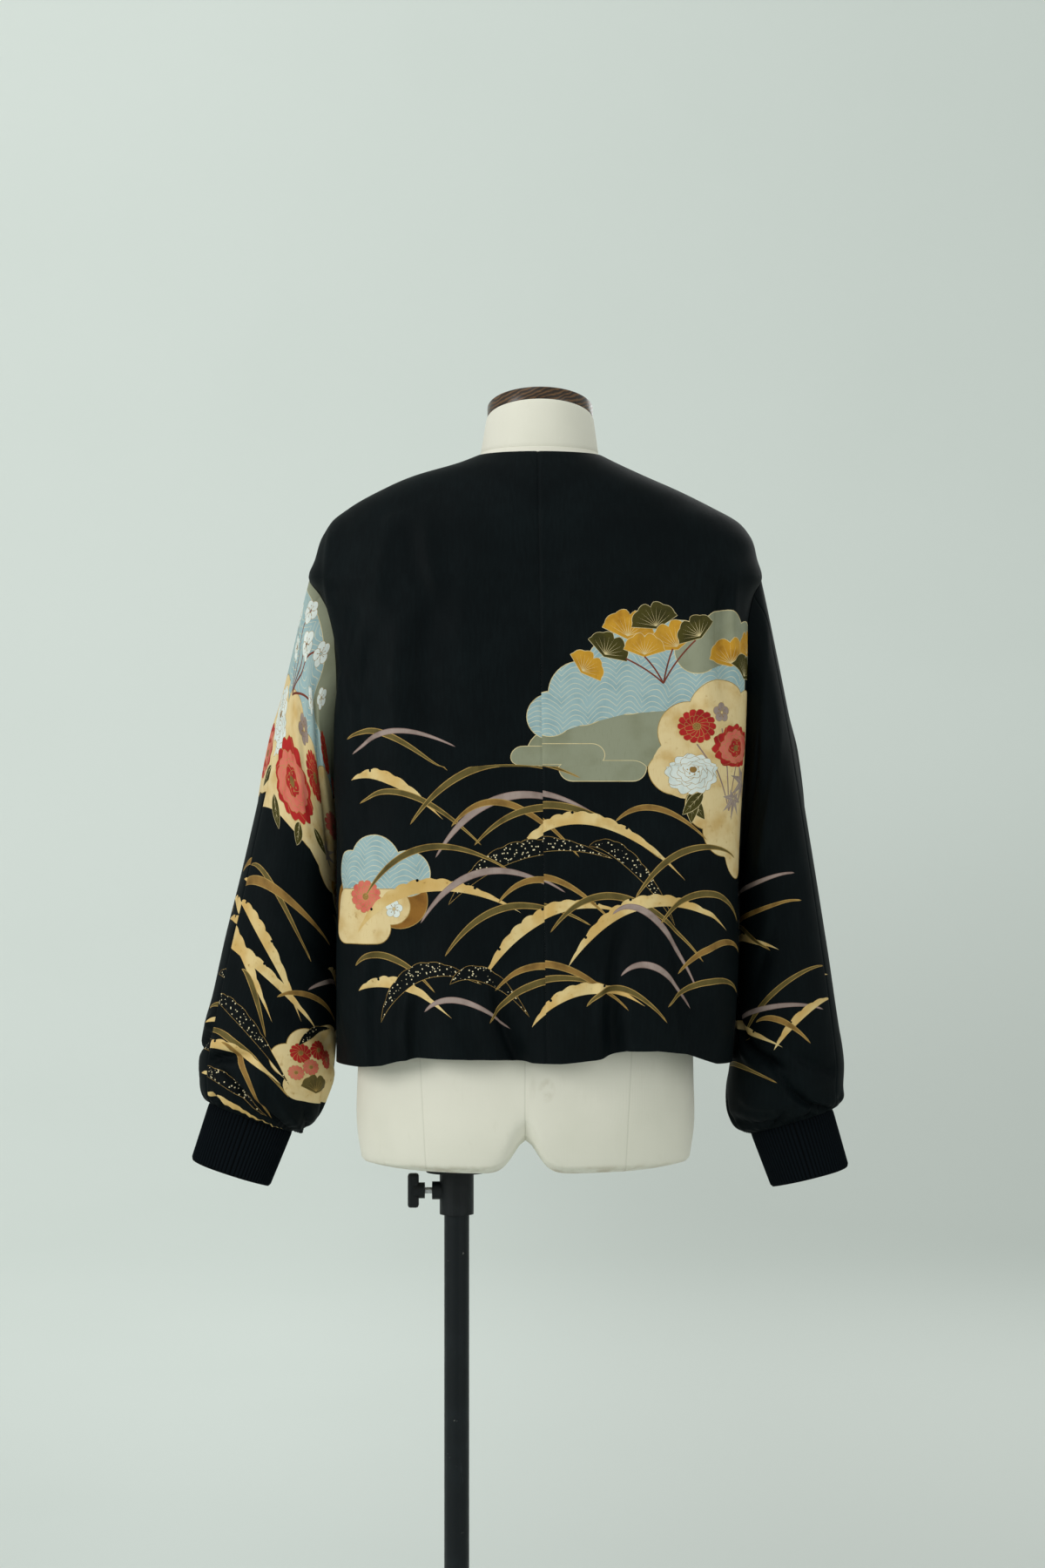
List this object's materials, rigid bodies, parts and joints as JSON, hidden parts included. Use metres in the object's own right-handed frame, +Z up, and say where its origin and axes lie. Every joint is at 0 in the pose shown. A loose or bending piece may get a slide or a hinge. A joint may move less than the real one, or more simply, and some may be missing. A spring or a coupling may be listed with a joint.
{
  "type": "kimono jacket on a limbless dress form with stand",
  "caption": "Loose collarless kimono-silk jacket with gathered sleeves and rib-knit cuffs, on a limbless cloth-covered dress form on a pole stand.",
  "frame": {"origin": "centre of the stand's flat underside, on the floor", "axes": "+Z up; the wearer's back faces +Y and the wearer's left is +X"},
  "size_m": [0.658, 0.33, 1.4712],
  "materials": {
    "silk": "soft crepe silk",
    "rib_knit": "matt rib knit",
    "form_cloth": "matt cotton",
    "cap_wood": "oiled",
    "black_paint": "satin",
    "bright_steel": "bright",
    "black_plastic": "satin"
  },
  "bodies": {
    "stand": {"stand_base": "black_paint", "pole": "black_paint"},
    "form": {"form_torso": "form_cloth", "form_neck_cap": "cap_wood", "form_clamp": "black_paint", "back_left": "silk", "back_right": "silk", "front_left": "silk", "front_right": "silk", "sleeve_back_left": "silk", "sleeve_front_left": "silk", "sleeve_back_right": "silk", "sleeve_front_right": "silk", "cuff_left": "rib_knit", "cuff_right": "rib_knit"},
    "knob": {"clamp_knob": "black_plastic", "clamp_bolt": "bright_steel"}
  },
  "joints": [
    {"name": "form_height", "type": "slide", "parent": "stand", "child": "form", "axis": [0, 0, 1], "range_m": [-0.1, 0.2]},
    {"name": "knob_turn", "type": "hinge", "parent": "form", "child": "knob", "pos_m": [0.1, 0, 0.6774], "axis": [1, 0, 0], "range_deg": [0, 360]}
  ]
}
